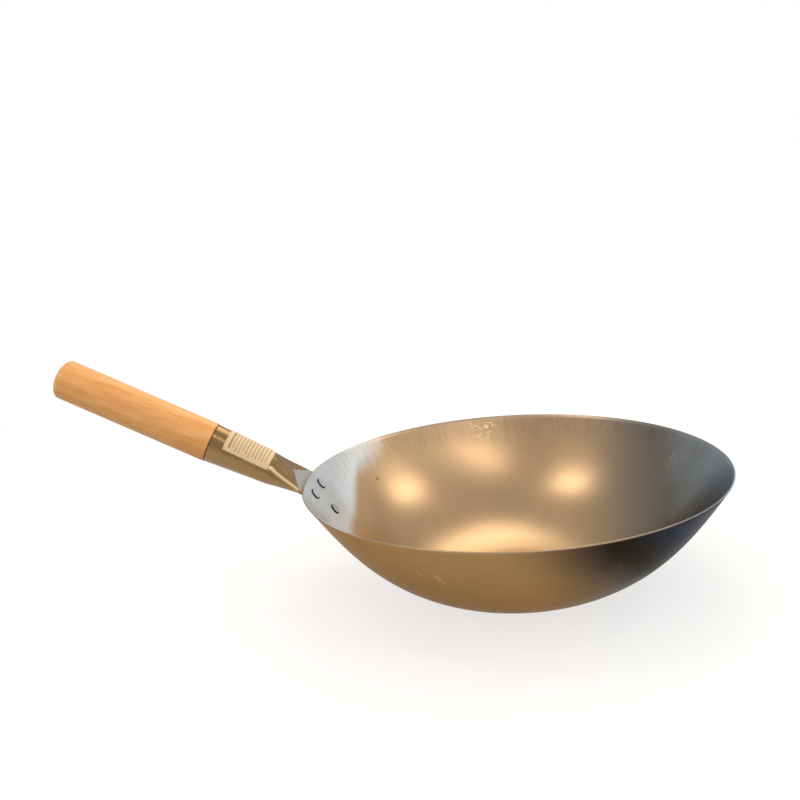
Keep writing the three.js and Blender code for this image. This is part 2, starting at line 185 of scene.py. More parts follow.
class WokSocketSizes(bpy.types.PropertyGroup):
    """Sizes and place of the socket that joins grip and bowl."""

    grip_slope: slope("Handle Slope", "Rise of the handle", 26.9)
    axis_rise: distance("Axis Rise", "Grip's axis over the rim edge, at the rim radius", -0.0027)
    reach: distance("Reach", "From the rim radius to the mouth, along the grip's axis", 0.0869)
    sheet: distance("Sheet", "Thickness of the socket's sheet", 0.0015)
    mouth_radius: distance("Mouth Radius", "Outside of the round mouth", 0.0167)
    neck_half_height: distance("Neck Half-height", "Half-height where the squashed part starts", 0.0128)
    squash_length: distance("Squash Length", "From the neck to the flat strap", 0.029)
    strap_length: distance("Strap Length", "Flat strap before the bend", 0.001)
    strap_rise: distance("Strap Rise", "Strap's mid-plane over the grip's axis", 0.0009)
    strap_flare: distance("Strap Flare", "How much the strap spreads on each side", 0.0016)
    bend_radius: distance("Bend Radius", "Bend from strap to flange", 0.014)
    rivet_below_bend: distance("Rivets Below Bend", "Upper rivets below the bend", 0.0042)
    rivet_row: distance("Rivet Row", "Lower rivet below the upper ones", 0.0227)
    rivet_spacing: distance("Rivet Spacing", "Between the two upper rivets", 0.0272)
    tip_margin: distance("Tip Margin", "Flange beyond the lower rivet", 0.012)
    tip_flat: distance("Tip Flat", "Width of the small flat at the flange's tip", 0.007)
    seam_width: distance("Seam Width", "Open joint of the rolled sheet", 0.0008)
    seam_short: distance("Seam Short", "Seam's end before the flat strap", 0.008)
    fit_gap: distance("Fit Gap", "Clearance between pieces that rest on each other", 0.0003)


class WokHandleSizes(bpy.types.PropertyGroup):
    """Sizes of the grip, the fasteners and the label."""

    grip_radius: distance("Grip Radius", "Outside of the wooden grip", 0.0171)
    grip_length: distance("Grip Length", "From the socket's mouth to the end", 0.1441)
    grip_dome: distance("Grip Dome", "Height of the domed end", 0.0085)
    grip_shoulder: distance("Shoulder Rounding", "Rounding of the shoulder at the mouth", 0.001)
    rivet_radius: distance("Rivet Radius", "Shank of a rivet", 0.0025)
    rivet_head_radius: distance("Rivet Head Radius", "Both heads of a rivet", 0.0049)
    inner_head_height: distance("Inner Head Height", "Flat rivet heads in the bowl", 0.0011)
    outer_head_height: distance("Outer Head Height", "Domed rivet heads under the socket", 0.0026)
    tenon_short: distance("Tenon Short", "Tenon's end before the socket's neck", 0.008)
    screw_from_mouth: distance("Screw From Mouth", "Screw's place along the socket", 0.014)
    screw_radius: distance("Screw Radius", "Shank of the screw", 0.00175)
    screw_length: distance("Screw Length", "Screw below its head", 0.013)
    screw_head_radius: distance("Screw Head Radius", "Round head", 0.0035)
    screw_head_height: distance("Screw Head Height", "Round head", 0.0022)
    screw_slot_width: distance("Screw Slot Width", "Slot for the driver", 0.001)
    screw_slot_depth: distance("Screw Slot Depth", "Slot for the driver", 0.0011)
    label_from_mouth: distance("Label From Mouth", "Label's near edge", 0.0117)
    label_length: distance("Label Length", "Along the socket", 0.0415)
    label_thickness: distance("Label Thickness", "Paper and glue", 0.0003)
    label_margin: distance("Label Margin", "Bare paper round the ruled lines", 0.003)
    label_pitch: distance("Label Pitch", "Between the ruled lines", 0.003)
    label_back: slope("Label Over Top", "Reach over the socket's top to the far side", 45)
    label_front: slope("Label Down Side", "Reach down the near side", 72)


class WokFinish(bpy.types.PropertyGroup):
    """Colours of the finishes."""

    steel: colour("Steel", "Straw-tinted carbon steel", "#caaf8a")
    # Pale bare steel, brightened and blued as painted reflection of the window
    pale_steel: colour("Pale Steel", "Steel without tint, near the handle", "#f2f8fb")
    # This blue-grey, and the dark, grey and brown steel: partly heat tint, partly painted dark reflection
    blue_grey_steel_and_reflection: colour("Blued Steel", "Blue-grey heat tint inside", "#a8b4c2")
    outer_steel: colour("Outer Steel", "Straw-tinted outside", "#bc9866")
    dark_steel: colour("Dark Steel", "Dark blue heat tint outside", "#1b2640")
    socket_steel: colour("Socket Steel", "Rolled socket", "#a68a60")
    rivet_steel: colour("Rivet Steel", "Rivets and screw", "#bcbfbc")
    grey_steel: colour("Grey Steel", "Brown-grey heat tint inside", "#7f7d77")
    brown_steel: colour("Brown Steel", "Dark brown heat tint outside", "#2a2216")
    # Painted shade: a dark ring where the inner rivet heads meet the wall
    scale: colour("Scale", "Painted shade round the rivet heads", "#3c4646")
    wood_light: colour("Wood Light", "Early wood of the grip", "#fcc07c")
    wood_dark: colour("Wood Dark", "Late wood of the grip", "#e79b4a")
    paper: colour("Paper", "Label", "#e4cba6")
    ruling: colour("Ruling", "Plain ruled lines on the label", "#8f7048")


def wok_settings(scene):
    """Sizes of the bowl, the socket and the handle, and the colours."""
    return scene.wok_bowl, scene.wok_socket, scene.wok_handle, scene.wok_finish


def heading(angle):
    """Direction in the handle's plane, as (outwards, up)."""
    return Vector((math.cos(angle), math.sin(angle)))


def left_of(direction):
    """Direction a quarter turn to the left in that plane."""
    return Vector((-direction.y, direction.x))


def in_space(flat, y=0.0):
    """Point of the handle's plane, put in space."""
    return Vector((-flat.x, y, flat.y))


class HandlePlaces:
    """Where the handle meets the bowl, worked out from the sizes."""

    def __init__(self, bowl, socket):
        self.wall_up = heading(bowl.rim_slope)
        self.wall_in = left_of(self.wall_up)
        grip_axis = heading(socket.grip_slope)
        grip_up = left_of(grip_axis)
        rim_edge = Vector((bowl.rim_radius, bowl.rim_height))
        self.seat_top = rim_edge + self.wall_in * bowl.seat_press
        axis_at_rim = rim_edge + Vector((0, socket.axis_rise))
        mouth = axis_at_rim + grip_axis * socket.reach
        flange_top = self.seat_top - self.wall_in * (socket.fit_gap + socket.sheet)
        strap_line = axis_at_rim + grip_up * socket.strap_rise
        corner_up = (strap_line - flange_top).cross(grip_axis) / self.wall_up.cross(grip_axis)
        corner = flange_top + self.wall_up * corner_up
        self.bend = bowl.rim_slope - socket.grip_slope
        bend_reach = socket.bend_radius * math.tan(self.bend / 2)
        bend_down = bend_reach - corner_up
        self.bend_from_mouth = (mouth - corner).dot(grip_axis) - bend_reach
        self.strap_from_mouth = self.bend_from_mouth - socket.strap_length
        self.neck_from_mouth = self.strap_from_mouth - socket.squash_length
        self.upper_rivets_down = bend_down + socket.rivet_below_bend
        self.lower_rivet_down = self.upper_rivets_down + socket.rivet_row
        self.tongue = self.lower_rivet_down + socket.tip_margin - bend_down
        self.seat_frame = self.wall_frame(0, 0)
        self.grip_frame = Matrix.Translation(in_space(mouth)) @ Matrix(
            (in_space(Vector((0, 0)), -1), in_space(grip_up), in_space(grip_axis))
        ).transposed().to_4x4()

    def wall_frame(self, down, y):
        """Frame on the pressed seat, below the rim: Z points out of the wall, Y runs down it."""
        place = in_space(self.seat_top - self.wall_up * down, y)
        out = -in_space(self.wall_in)
        along = -in_space(self.wall_up)
        turn = Matrix((along.cross(out), along, out)).transposed()
        return Matrix.Translation(place) @ turn.to_4x4()


def smooth_step(value):
    """Eased value between 0 and 1."""
    held = min(max(value, 0.0), 1.0)
    return held * held * (3 - 2 * held)


def blend(a, b, share):
    """Value between a and b."""
    return a + (b - a) * share


def steps(count):
    """Whole steps from 0 to 1."""
    return [i / count for i in range(count + 1)]


# Modelling, as by hand


def start_circle(name, sides, radius, height, fill):
    """New piece that starts as a circle about Z, in edit mode with the circle selected."""
    bpy.ops.object.select_all(action="DESELECT")
    bpy.ops.mesh.primitive_circle_add(vertices=sides, radius=radius, fill_type=fill, location=(0, 0, height))
    piece = bpy.context.object
    piece.name = name
    piece.data.name = name
    bpy.ops.object.transform_apply(location=True, rotation=True, scale=True)
    bpy.ops.object.mode_set(mode="EDIT")
    bpy.ops.mesh.select_mode(type="VERT")
    return piece


def picked(piece):
    """Numbers of the selected vertices."""
    return {vert.index for vert in bmesh.from_edit_mesh(piece.data).verts if vert.select}


def pick(piece, test):
    """Selects the vertices that pass a test, with the edges and faces between them."""
    bpy.ops.mesh.select_all(action="DESELECT")
    mesh = bmesh.from_edit_mesh(piece.data)
    for vert in mesh.verts:
        if test(vert):
            vert.select_set(True)
    mesh.select_flush(True)
    bmesh.update_edit_mesh(piece.data)


def pick_faces(piece, test):
    """Selects the faces that pass a test."""
    bpy.ops.mesh.select_mode(type="FACE")
    bpy.ops.mesh.select_all(action="DESELECT")
    mesh = bmesh.from_edit_mesh(piece.data)
    for face in mesh.faces:
        face.select_set(test(face))
    bmesh.update_edit_mesh(piece.data)


def draw_out(move, scale=(1, 1, 1), about=(0, 0, 0)):
    """Extrudes the selected ring, moves the new one and scales it about a point."""
    bpy.ops.mesh.extrude_region()
    bpy.ops.transform.translate(value=move)
    if scale != (1, 1, 1):
        bpy.ops.transform.resize(value=scale, center_override=about)


def close_mesh():
    """Merges doubled points, turns the faces outwards and leaves edit mode."""
    bpy.ops.mesh.select_all(action="SELECT")
    bpy.ops.mesh.remove_doubles(threshold=MERGE_GAP)
    bpy.ops.mesh.normals_make_consistent(inside=False)
    bpy.ops.object.mode_set(mode="OBJECT")


def face_away(piece, inwards):
    """Turns all faces of an open sheet away from a direction, and leaves edit mode."""
    bpy.ops.mesh.select_all(action="SELECT")
    bpy.ops.mesh.normals_make_consistent(inside=False)
    if bmesh.from_edit_mesh(piece.data).faces[:1][0].normal.dot(inwards) > 0:
        bpy.ops.mesh.flip_normals()
    bpy.ops.object.mode_set(mode="OBJECT")


def lay(piece, matrix):
    """Moves a piece and writes its new place into its mesh."""
    piece.matrix_world = matrix
    bpy.ops.object.transform_apply(location=True, rotation=True, scale=True)


def apply_modifier(piece, kind, **settings):
    """Adds a modifier with its settings and applies it."""
    bpy.ops.object.modifier_add(type=kind)
    modifier = piece.modifiers[-1]
    for key, value in settings.items():
        setattr(modifier, key, value)
    bpy.ops.object.modifier_apply(modifier=modifier.name)


def dome(radius, base, height, count):
    """Domed end of a turned profile, as (radius, height) from its edge to its middle."""
    turns = [step * math.pi / 2 for step in steps(count)[:-1]]
    curve = [(radius * math.cos(turn), base + height * math.sin(turn)) for turn in turns]
    return [*curve, (0, base + height)]


def turn_piece(name, profile, sides):
    """Turned piece about Z: a disc at the first (radius, height), drawn out through the others."""
    (radius, height), *others = profile
    piece = start_circle(name, sides, radius, height, "TRIFAN")
    bpy.ops.mesh.region_to_loop()
    for new_radius, new_height in others:
        bpy.ops.mesh.select_mode(type="VERT")
        draw_out((0, 0, new_height - height))
        if new_radius:
            share = new_radius / radius
            bpy.ops.transform.resize(value=(share, share, 1), center_override=(0, 0, 0))
        else:
            bpy.ops.mesh.merge(type="CENTER")
        radius, height = new_radius, new_height
    return piece


def only(piece):
    """Selects one piece and makes it the active one."""
    bpy.ops.object.select_all(action="DESELECT")
    piece.select_set(True)
    bpy.context.view_layer.objects.active = piece


def dress(piece, *materials):
    """Gives a piece its materials."""
    for material in materials:
        piece.data.materials.append(material)


def finish_piece(piece, slot, *nodes, smooth=SMOOTH_ANGLE):
    """Shades a piece and hands it to the frame in place of its solid."""
    only(piece)
    bpy.ops.object.shade_smooth_by_angle(angle=smooth)
    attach(piece, "root")
    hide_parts(*nodes)


# Materials


def add_node(tree, kind, *values, **named):
    """Adds a shader node and returns the first output that it shows.

    Values and links fill the inputs that it shows, in their order. Names with a capital fill an input by its
    name, and names in small letters are the node's settings.
    """
    node = tree.nodes.new("ShaderNode" + kind)
    inputs = {name.replace("_", " "): value for name, value in named.items() if not name.islower()}
    for name in filter(str.islower, named):
        setattr(node, name, named[name])
    shown = [socket for socket in node.inputs if socket.enabled]
    filled = [*zip(shown, values), *((node.inputs[name], value) for name, value in inputs.items())]
    for socket, value in filled:
        if isinstance(value, bpy.types.NodeSocket):
            tree.links.new(value, socket)
        else:
            socket.default_value = value
    return next((socket for socket in node.outputs if socket.enabled), None)


def start_nodes(owner):
    """Empties the node tree of a material or a world, and returns the function that adds a node to it."""
    owner.use_nodes = True
    owner.node_tree.nodes.clear()
    return partial(add_node, owner.node_tree)


def soft_edge(node, value, low, high):
    """Share that goes from 0 at one value to 1 at another, eased at both ends.

    It is worked out with sums, because the Map Range node's own smooth step leaves dotted lines.
    """
    share = node("MapRange", value, low, high)
    square = node("Math", share, share, operation="MULTIPLY")
    rest = node("Math", share, -2.0, 3.0, operation="MULTIPLY_ADD")
    return node("Math", square, rest, operation="MULTIPLY")


def handle_place(node, grip_frame):
    """Place in the handle's frame: X to the near side, Y up, Z out along the grip from the mouth."""
    place = node("TexCoord").node.outputs["Object"]
    return node("Mapping", place, grip_frame.to_translation(), grip_frame.to_euler(), vector_type="TEXTURE")


def rosy(tone):
    """Straw tint that has drifted towards rose."""
    return (*(part * shift for part, shift in zip(tone, ROSE_SHIFT)), 1.0)


def mark_level(node, place, kind, centre, radius, shade):
    """Shade that one mark of wear gives the steel: 1 away from it."""
    gap = node("VectorMath", place, centre, operation="DISTANCE")
    share = soft_edge(node, gap, radius, MARK_CORE * radius)
    drawn = 1.0
    if kind == "scratches":
        # Thin winding lines, drawn about 0.6 mm wide so that they show
        line_edge = 0.022, 0.01
        winding = node("TexNoise", place, Scale=2 / radius, Detail=3.0)
        off_line = node("Math", node("Math", winding, 0.5, operation="SUBTRACT"), operation="ABSOLUTE")
        drawn = node("MapRange", off_line, *line_edge)
    elif kind == "scuffs":
        # Straight streaks, about 2 mm wide and 10 mm long
        streak_size, lengthening, streak_edge = 0.006, 5, (0.58, 0.66)
        lean = Vector(SCUFF_LEAN).to_track_quat("Z", "Y").to_euler()
        along = node("Mapping", place, Rotation=lean, Scale=(1, 1, lengthening), vector_type="TEXTURE")
        drawn = node("MapRange", node("TexNoise", along, Scale=1 / streak_size, Detail=3.0), *streak_edge)
    elif kind == "smudge":
        # Cloudy, with spots a third as large as the smudge
        cloud_edge = 0.42, 0.66
        drawn = node("MapRange", node("TexNoise", place, Scale=3 / radius, Detail=3.0), *cloud_edge)
    share = node("Math", share, drawn, operation="MULTIPLY")
    return node("MapRange", share, 0.0, 1.0, 1.0, shade)


def carbon_steel(name, bowl, tones, finish):
    """Carbon steel sheet, pressed and then buffed on a spinner: a satin metal with faint rings round the
    bowl, a duller band of upright rub marks below the rim, a tint from straw to blue that is partly heat
    tint and partly painted dark reflection, pale bare steel that is partly painted reflection, and wear."""
    main, tint, blue, pale = tones
    material = bpy.data.materials.new(name)
    node = start_nodes(material)
    place = node("TexCoord").node.outputs["Object"]
    x, y, z = node("SeparateXYZ", place).node.outputs
    flat = node("VectorMath", place, (1, 1, 0), operation="MULTIPLY")
    around = node("VectorMath", flat, operation="NORMALIZE")
    radius = node("VectorMath", flat, operation="LENGTH")

    # Rings of the buffing wheel, drawn 1.2 mm apart because the real ones are too fine to show
    ring_gap, ring_drift = 0.0012, 0.004
    up_wall = node("CombineXYZ", Z=node("Math", radius, z, operation="ADD"))
    ring_place = node("VectorMath", around, (ring_drift,) * 3, up_wall, operation="MULTIPLY_ADD")
    rings = node("TexNoise", ring_place, Scale=1 / ring_gap, Detail=3.0, Roughness=0.6)

    # Upright rub marks, about 2 mm wide, in a band that fades out raggedly 5 to 26 mm below the rim
    rub_width, rub_shortening = 0.0013, 0.07
    run_width, run_reach = 0.005, 0.018
    band_edge = bowl.rim_height - 0.0174, bowl.rim_height + 0.0036
    rub_height = node("CombineXYZ", Z=node("Math", z, rub_shortening, operation="MULTIPLY"))
    rub_place = node("VectorMath", around, (bowl.rim_radius,) * 3, rub_height, operation="MULTIPLY_ADD")
    rubs = node("TexNoise", rub_place, Scale=1 / rub_width, Detail=4.0, Roughness=0.65)
    runs = node("TexNoise", rub_place, Scale=1 / run_width, Detail=3.0, Roughness=0.7)
    ragged = node("Math", runs, run_reach, z, operation="MULTIPLY_ADD")
    band = node("Math", soft_edge(node, ragged, *band_edge), finish["rubbed"], operation="MULTIPLY")
    band_rubs = node("Math", band, rubs, operation="MULTIPLY")
    # Worn strip along the rim, about 2 mm wide
    worn_edge = bowl.rim_height - 0.0026, bowl.rim_height - 0.0008
    worn_share = 0.1
    worn = node("Math", soft_edge(node, z, *worn_edge), worn_share, operation="MULTIPLY")

    # Blotches of oil and handling, about 40 mm across
    blotch_size = 0.04
    blotches = node("TexNoise", place, Scale=1 / blotch_size, Detail=4.0, Roughness=0.55)

    # Tint towards one side, partly heat tint and partly painted dark reflection, with an edge that the
    # blotches move by up to 30 mm
    tint_wander = 0.03
    wander = node("Math", blotches, tint_wander, x, operation="MULTIPLY_ADD")
    wander = node("Math", z, finish["tint_rise"], wander, operation="MULTIPLY_ADD")
    tint_and_dark_reflection = soft_edge(node, wander, *finish["tint"])
    blue_tint_and_reflection = soft_edge(node, wander, *finish["blue_tint_and_reflection"])

    # Bare steel towards the handle, painted paler and bluer as a reflection of the window, which reaches 22
    # mm further in the band and is dimmer at its far end
    first, last = finish["bare"]
    band_reach, dull_reach = 0.022, 0.015
    dim_reach, dimmest = 0.016, 0.72
    bare_wander, rub_streaks = 0.006, -0.01
    to_handle = node("Math", y, BARE_LEAN, x, operation="MULTIPLY_ADD")
    streaky = node("Math", blotches, bare_wander, to_handle, operation="MULTIPLY_ADD")
    streaky = node("Math", band_rubs, rub_streaks, streaky, operation="MULTIPLY_ADD")
    in_band = node("Math", band, soft_edge(node, streaky, first + band_reach, last), operation="MULTIPLY")
    bare = node("Math", soft_edge(node, streaky, first, last), in_band, operation="MAXIMUM")
    dimming = node("MapRange", to_handle, last, last - dim_reach, 1.0, dimmest)
    bare_tone = node("VectorMath", pale[:3], dimming, operation="SCALE")

    # Straw and rose in clouds, then the tints with their painted dark reflection, the duller band and the
    # bare steel with its painted reflection over them
    band_tint = 0.25
    tone = node("Mix", node("MapRange", blotches, *CLOUDS), main, rosy(main), data_type="RGBA")
    tone = node("Mix", tint_and_dark_reflection, tone, tint, data_type="RGBA")
    tone = node("Mix", blue_tint_and_reflection, tone, blue, data_type="RGBA")
    tone = node("Mix", node("Math", band, band_tint, operation="MULTIPLY"), tone, tint, data_type="RGBA")
    tone = node("Mix", node("Math", bare, worn, operation="MAXIMUM"), tone, bare_tone, data_type="RGBA")
    edges = [(*(blend(1.0, part, EDGE_TINT) for part in shade[:3]), 1.0) for shade in (main, blue)]

    # A thick oxide hides the metal and is dull, so that the painted dark reflection shows
    oxide_dulls = 0.48
    metal = {"Metallic": 1.0}
    if finish["oxide"]:
        metal = {
            "Metallic": node("Math", tint_and_dark_reflection, -finish["oxide"], 1.0, operation="MULTIPLY_ADD"),
            "Specular_IOR_Level": node("Math", tint_and_dark_reflection, -oxide_dulls, 0.5, operation="MULTIPLY_ADD"),
        }

    # Shade of the blotches, the rub marks and the marks of wear
    shades, rub_range = (0.86, 1.12), (0.3, 0.7)
    level = node("MapRange", blotches, 0.0, 1.0, *shades)
    streak = node("MapRange", rubs, *rub_range, *shades)
    level = node("Math", level, node("Mix", band, 1.0, streak), operation="MULTIPLY")
    for mark in finish["marks"]:
        level = node("Math", level, mark_level(node, place, *mark), operation="MULTIPLY")

    # Buffed below, and duller in the band, towards the bare steel and on the flat floor
    buffed = 0.275, 0.295
    band_dulls, bare_dulls, floor_dulls = 0.12, 0.2, 0.15
    gloss = node("MapRange", rings, 0.0, 1.0, *buffed)
    gloss = node("Math", band_rubs, band_dulls, gloss, operation="MULTIPLY_ADD")
    floor_edge = bowl.base_radius + 0.029, bowl.base_radius + 0.004
    on_floor = soft_edge(node, radius, *floor_edge)
    gloss = node("Math", on_floor, floor_dulls, gloss, operation="MULTIPLY_ADD")
    near_bare = soft_edge(node, to_handle, first + dull_reach, last)
    gloss = node("Math", near_bare, bare_dulls, gloss, operation="MULTIPLY_ADD")
    rub_depth = 8.0  # against the rings
    relief = node("Math", band_rubs, rub_depth, rings, operation="MULTIPLY_ADD")
    surface = node(
        "BsdfPrincipled",
        Base_Color=node("VectorMath", tone, level, operation="SCALE"),
        Specular_Tint=node("Mix", tint_and_dark_reflection, *edges, data_type="RGBA"),
        Roughness=gloss,
        Normal=node("Bump", Strength=0.0025, Distance=0.0004, Height=relief),
        **metal,
    )
    node("OutputMaterial", surface)
    return material


def rolled_steel(name, main, pale, places, socket):
    """Steel sheet rolled to a tube and polished lengthwise: bright, with fine lines along the socket,
    a painted highlight along the shoulders, and a pale top facet that is painted reflection with real
    scuffs."""
    material = bpy.data.materials.new(name)
    node = start_nodes(material)
    local = handle_place(node, places.grip_frame)
    x, y, z = node("SeparateXYZ", local).node.outputs
    sideways = node("Math", x, operation="ABSOLUTE")
    topside = node("Math", y, 0.0, operation="GREATER_THAN")

    # Polishing lines, 0.8 mm apart and about 30 mm long, and stains about 14 mm across
    line_gap, line_shortening = 0.0008, 0.03
    stain_size, stain_shades = 0.014, (0.82, 1.15)
    lengthwise = node("VectorMath", local, (1, 1, line_shortening), operation="MULTIPLY")
    lines = node("TexNoise", lengthwise, Scale=1 / line_gap, Detail=3.0, Roughness=0.6)
    stains = node("TexNoise", local, Scale=1 / stain_size, Detail=4.0, Roughness=0.6)
    tone = node("Mix", node("MapRange", stains, *CLOUDS), main, rosy(main), data_type="RGBA")
    level = node("MapRange", stains, 0.0, 1.0, *stain_shades)
    tone = node("VectorMath", tone, level, operation="SCALE")

    # Painted highlight along the shoulders of the squashed part, about 2 mm wide, from the label to just
    # before the strap
    neck, strap = places.neck_from_mouth, places.strap_from_mouth
    narrow, wide = (TubeSection(socket, places, stop).half_width for stop in (neck, strap))
    ridge_edge, ridge_share, ridge_ends = (0.0016, 0.0002), 0.9, (0.99, 0.94)
    label_end, ridge_full = 0.03 - neck, 0.01 - neck
    squashed = node("MapRange", z, -neck, -strap)
    shoulder = node("MapRange", squashed, 0.0, 1.0, narrow * SHOULDER_STARTS, wide * FLAT_ENDS)
    off_ridge = node("Math", node("Math", shoulder, sideways, operation="SUBTRACT"), operation="ABSOLUTE")
    ridge_painted_highlight = node("Math", soft_edge(node, off_ridge, *ridge_edge), ridge_share, operation="MULTIPLY")
    past_label = node("MapRange", z, label_end, ridge_full)
    for limit in (node("MapRange", squashed, *ridge_ends), topside, past_label):
        ridge_painted_highlight = node("Math", ridge_painted_highlight, limit, operation="MULTIPLY")
    # Painted highlight: the shoulder line is mixed towards a pale tone
    tone = node("Mix", ridge_painted_highlight, tone, linear(RIDGE_PAINTED_HIGHLIGHT), data_type="RGBA")

    # Facet, painted pale as a reflection of the bright room: it starts as a point on the top line and grows
    # to the width of the strap, with a ragged edge
    starts, ends = (blend(neck, strap, share) for share in FACET_SPAN)
    point_width, facet_edge, bend_fade = -0.003, (0.0012, 0.0036), 0.0015
    ragged_size, ragged_reach = 0.003, 0.004
    grown = node("MapRange", z, -starts, -ends, point_width, wide)
    within = node("Math", grown, sideways, operation="SUBTRACT")
    ragged = node("TexNoise", local, Scale=1 / ragged_size, Detail=3.0)
    within = node("Math", ragged, ragged_reach, within, operation="MULTIPLY_ADD")
    facet_painted_reflection = node("Math", soft_edge(node, within, *facet_edge), topside, operation="MULTIPLY")
    before_bend = node("MapRange", z, -ends - bend_fade, -ends)
    facet_painted_reflection = node("Math", facet_painted_reflection, before_bend, operation="MULTIPLY")
    # Scuffs on it, about 2 mm across
    scuff_size, scuff_range, scuff_shades = 0.002, (0.3, 0.6), (0.8, 1.0)
    scuffs = node("TexNoise", local, Scale=1 / scuff_size, Detail=3.0)
    scuffed = node("MapRange", scuffs, *scuff_range, *scuff_shades)
    facet = node("Math", facet_painted_reflection, scuffed, operation="MULTIPLY")

    polished, facet_dulls, painted_highlight_hides_metal = (0.25, 0.3), 0.2, 0.6
    gloss = node("MapRange", lines, 0.0, 1.0, *polished)
    surface = node(
        "BsdfPrincipled",
        # The facet's pale tone is painted reflection; the scuffs on it are real wear
        Base_Color=node("Mix", facet, tone, pale, data_type="RGBA"),
        # Less metal under the painted highlight, so that its pale tone shows
        Metallic=node("Math", ridge_painted_highlight, -painted_highlight_hides_metal, 1.0, operation="MULTIPLY_ADD"),
        Roughness=node("Math", facet_painted_reflection, facet_dulls, gloss, operation="MULTIPLY_ADD"),
        Normal=node("Bump", Strength=0.004, Distance=0.0003, Height=lines),
    )
    node("OutputMaterial", surface)
    return material


def headed_steel(name, main):
    """Cold-headed steel wire: plain grey metal with small dents from the hammer."""
    material = bpy.data.materials.new(name)
    node = start_nodes(material)
    # Dents about 2 mm across
    dent_size, dent_shades, dent_gloss = 0.002, (0.82, 1.1), (0.26, 0.42)
    place = node("TexCoord").node.outputs["Object"]
    dents = node("TexNoise", place, Scale=1 / dent_size, Detail=3.0)
    level = node("MapRange", dents, 0.0, 1.0, *dent_shades)
    surface = node(
        "BsdfPrincipled",
        Base_Color=node("VectorMath", main[:3], level, operation="SCALE"),
        Metallic=1.0,
        Roughness=node("MapRange", dents, 0.0, 1.0, *dent_gloss),
        Normal=node("Bump", Strength=0.15, Distance=0.0004, Height=dents),
    )
    node("OutputMaterial", surface)
    return material


def varnished_beech(name, light, dark, grip_frame):
    """Beech, turned and given a thin clear varnish: lengthwise grain, short dark flecks, a soft sheen."""
    material = bpy.data.materials.new(name)
    node = start_nodes(material)
    local = handle_place(node, grip_frame)
    # The grain runs out of the side at a slight angle: growth bands about 5 mm wide, and fibres drawn
    # 1.1 mm wide, coarser than real ones
    band_width, band_shortening = 0.005, 0.12
    fibre_width, fibre_shortening, fibre_gloss = 0.0011, 0.05, (0.42, 0.6)
    grain_range = 0.7, 1.3
    lean = Matrix.Rotation(GRAIN_LEAN, 4, "Y") @ Matrix.Rotation(GRAIN_LEAN, 4, "X")
    leaning = handle_place(node, grip_frame @ lean)
    band_place = node("VectorMath", leaning, (1, 1, band_shortening), operation="MULTIPLY")
    fibre_place = node("VectorMath", leaning, (1, 1, fibre_shortening), operation="MULTIPLY")
    bands = node("TexNoise", band_place, Scale=1 / band_width, Detail=4.0)
    fibres = node("TexNoise", fibre_place, Scale=1 / fibre_width, Detail=4.0, Roughness=0.7)
    grain = node("Math", fibres, bands, operation="ADD")
    wood = node("Mix", node("MapRange", grain, *grain_range), light, dark, data_type="RGBA")
    # Flecks, about 1 mm across and three times as long, in cells of 6 mm
    fleck_cell, fleck_shortening = 0.006, 0.35
    fleck_edge, fleck_shades = (0.06, 0.1), (0.55, 1.0)
    fleck_place = node("VectorMath", local, (1, 1, fleck_shortening), operation="MULTIPLY")
    spots = node("TexVoronoi", fleck_place, Scale=1 / fleck_cell)
    flecks = node("MapRange", spots, *fleck_edge, *fleck_shades)
    # Painted shadow in the joint with the socket, about 1 mm wide
    along = node("SeparateXYZ", local).node.outputs["Z"]
    joint_shadow_edge, joint_shadow_shades = (0.0006, 0.0016), (0.25, 1.0)
    joint = node("MapRange", along, *joint_shadow_edge, *joint_shadow_shades)
    level = node("Math", flecks, joint, operation="MULTIPLY")
    surface = node(
        "BsdfPrincipled",
        Base_Color=node("VectorMath", wood, level, operation="SCALE"),
        Roughness=node("MapRange", fibres, 0.0, 1.0, *fibre_gloss),
        IOR=1.5,
        Coat_Weight=0.3,
        Coat_Roughness=0.3,
        Normal=node("Bump", Strength=0.12, Distance=0.0002, Height=fibres),
    )
    node("OutputMaterial", surface)
    return material


